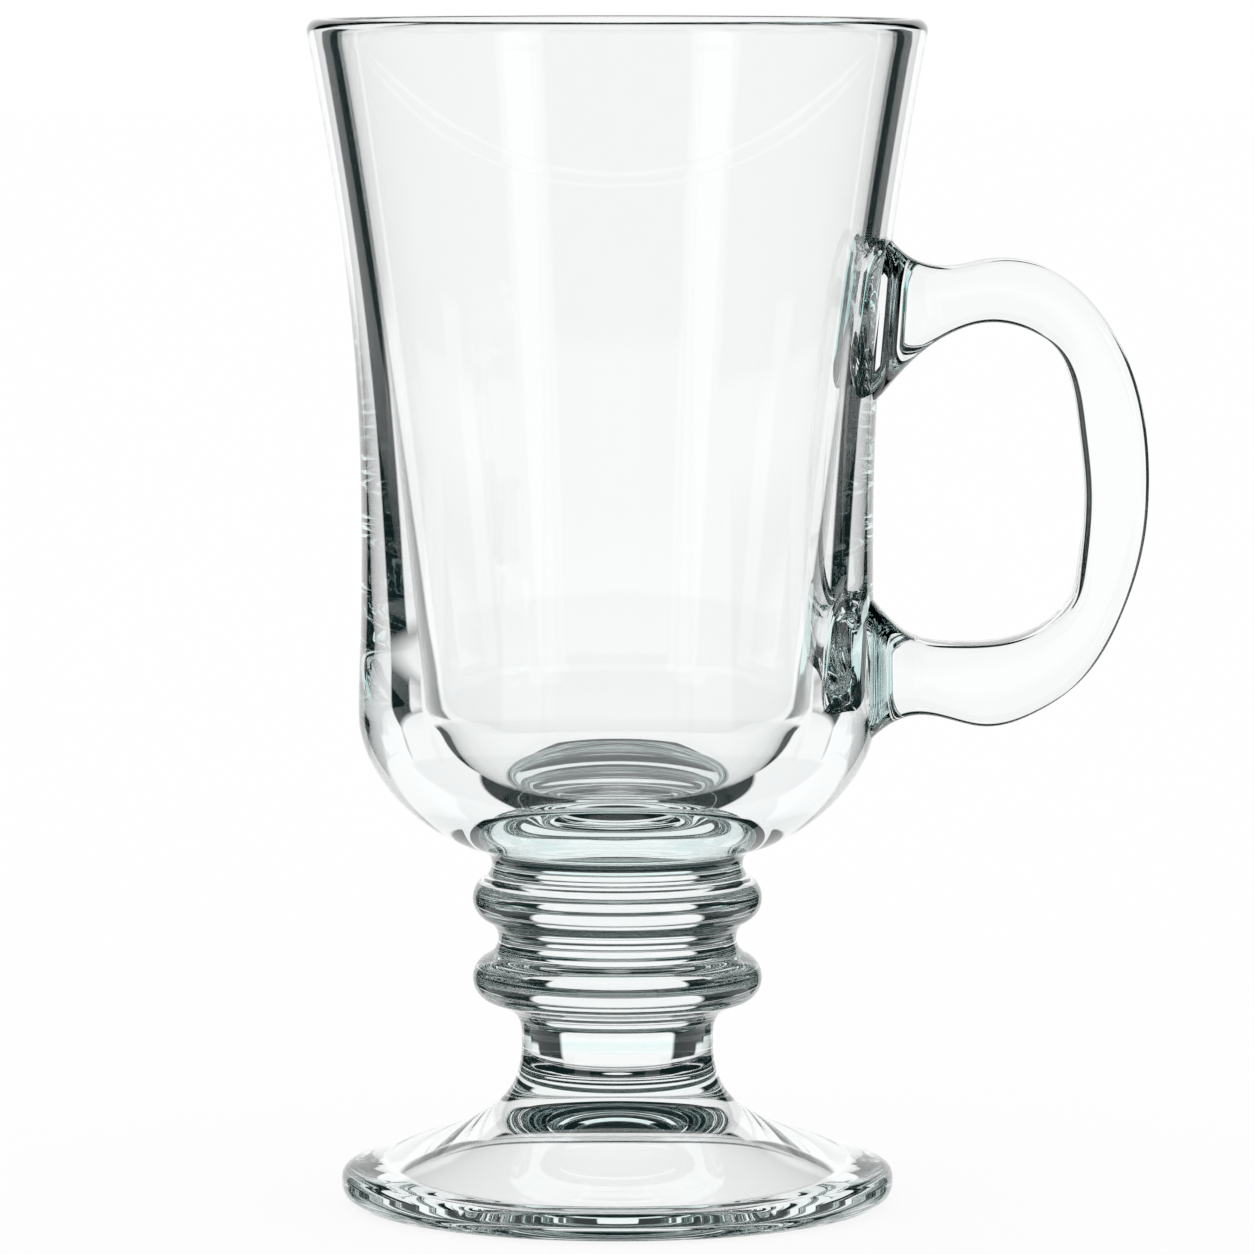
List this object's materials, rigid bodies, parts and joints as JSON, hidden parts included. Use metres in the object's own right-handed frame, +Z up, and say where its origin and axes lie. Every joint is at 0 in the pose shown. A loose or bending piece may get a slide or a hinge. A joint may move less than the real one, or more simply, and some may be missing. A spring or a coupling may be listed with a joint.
{
  "type": "irish coffee glass mug",
  "caption": "Clear glass mug for hot drinks: a tall flared bowl on a beaded stem and a spreading foot, with a D-shaped handle to lift it by.",
  "frame": {"origin": "on the mug's axis, in the plane of the table that its foot stands on", "axes": "+Z up along the mug's axis, +X towards the handle, +Y across the handle to the back of the pictured view"},
  "size_m": [0.1043, 0.0768, 0.1475],
  "materials": {
    "bowl_glass": "clear, fire-polished",
    "stem_glass": "clear, fire-polished",
    "foot_glass": "clear, fire-polished",
    "handle_glass": "clear, fire-polished"
  },
  "bodies": {
    "root": {"bowl": "bowl_glass", "stem": "stem_glass", "foot": "foot_glass", "handle": "handle_glass"}
  },
  "joints": []
}
